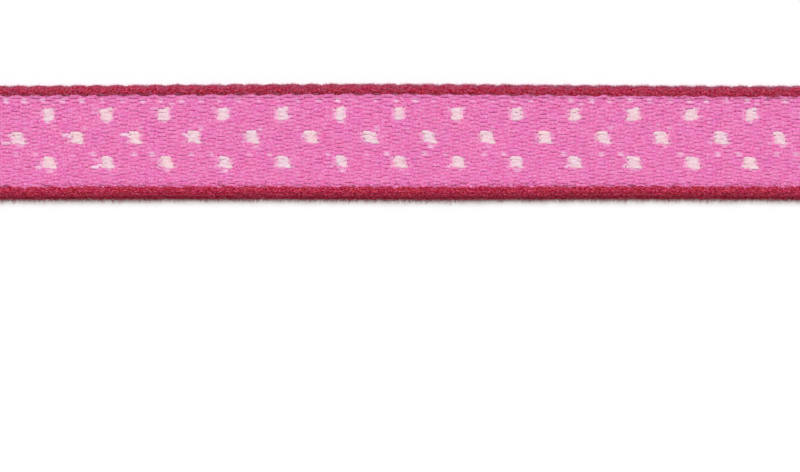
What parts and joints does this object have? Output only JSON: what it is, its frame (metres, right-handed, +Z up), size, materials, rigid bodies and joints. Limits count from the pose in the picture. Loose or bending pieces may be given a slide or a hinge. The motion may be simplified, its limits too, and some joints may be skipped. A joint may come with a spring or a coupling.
{
  "type": "dotted woven ribbon",
  "caption": "Flat cut length of narrow double-faced woven ribbon: pink face with pale dots, pale reverse with pink dots, raised crimson selvedges.",
  "frame": {"origin": "centre of the underside of the ribbon, on the surface that it lies on", "axes": "+X along the ribbon, +Y across it, +Z up out of the pink face"},
  "size_m": [0.1008, 0.0123, 0.0012],
  "materials": {
    "pink_yarn": "matt cotton yarn, picks and warp of the face",
    "pale_yarn": "matt pale cotton yarn, warp of the reverse",
    "crimson_yarn": "fuzzy crimson selvedge yarn"
  },
  "bodies": {
    "root": {"ribbon": "pink_yarn"}
  },
  "joints": []
}
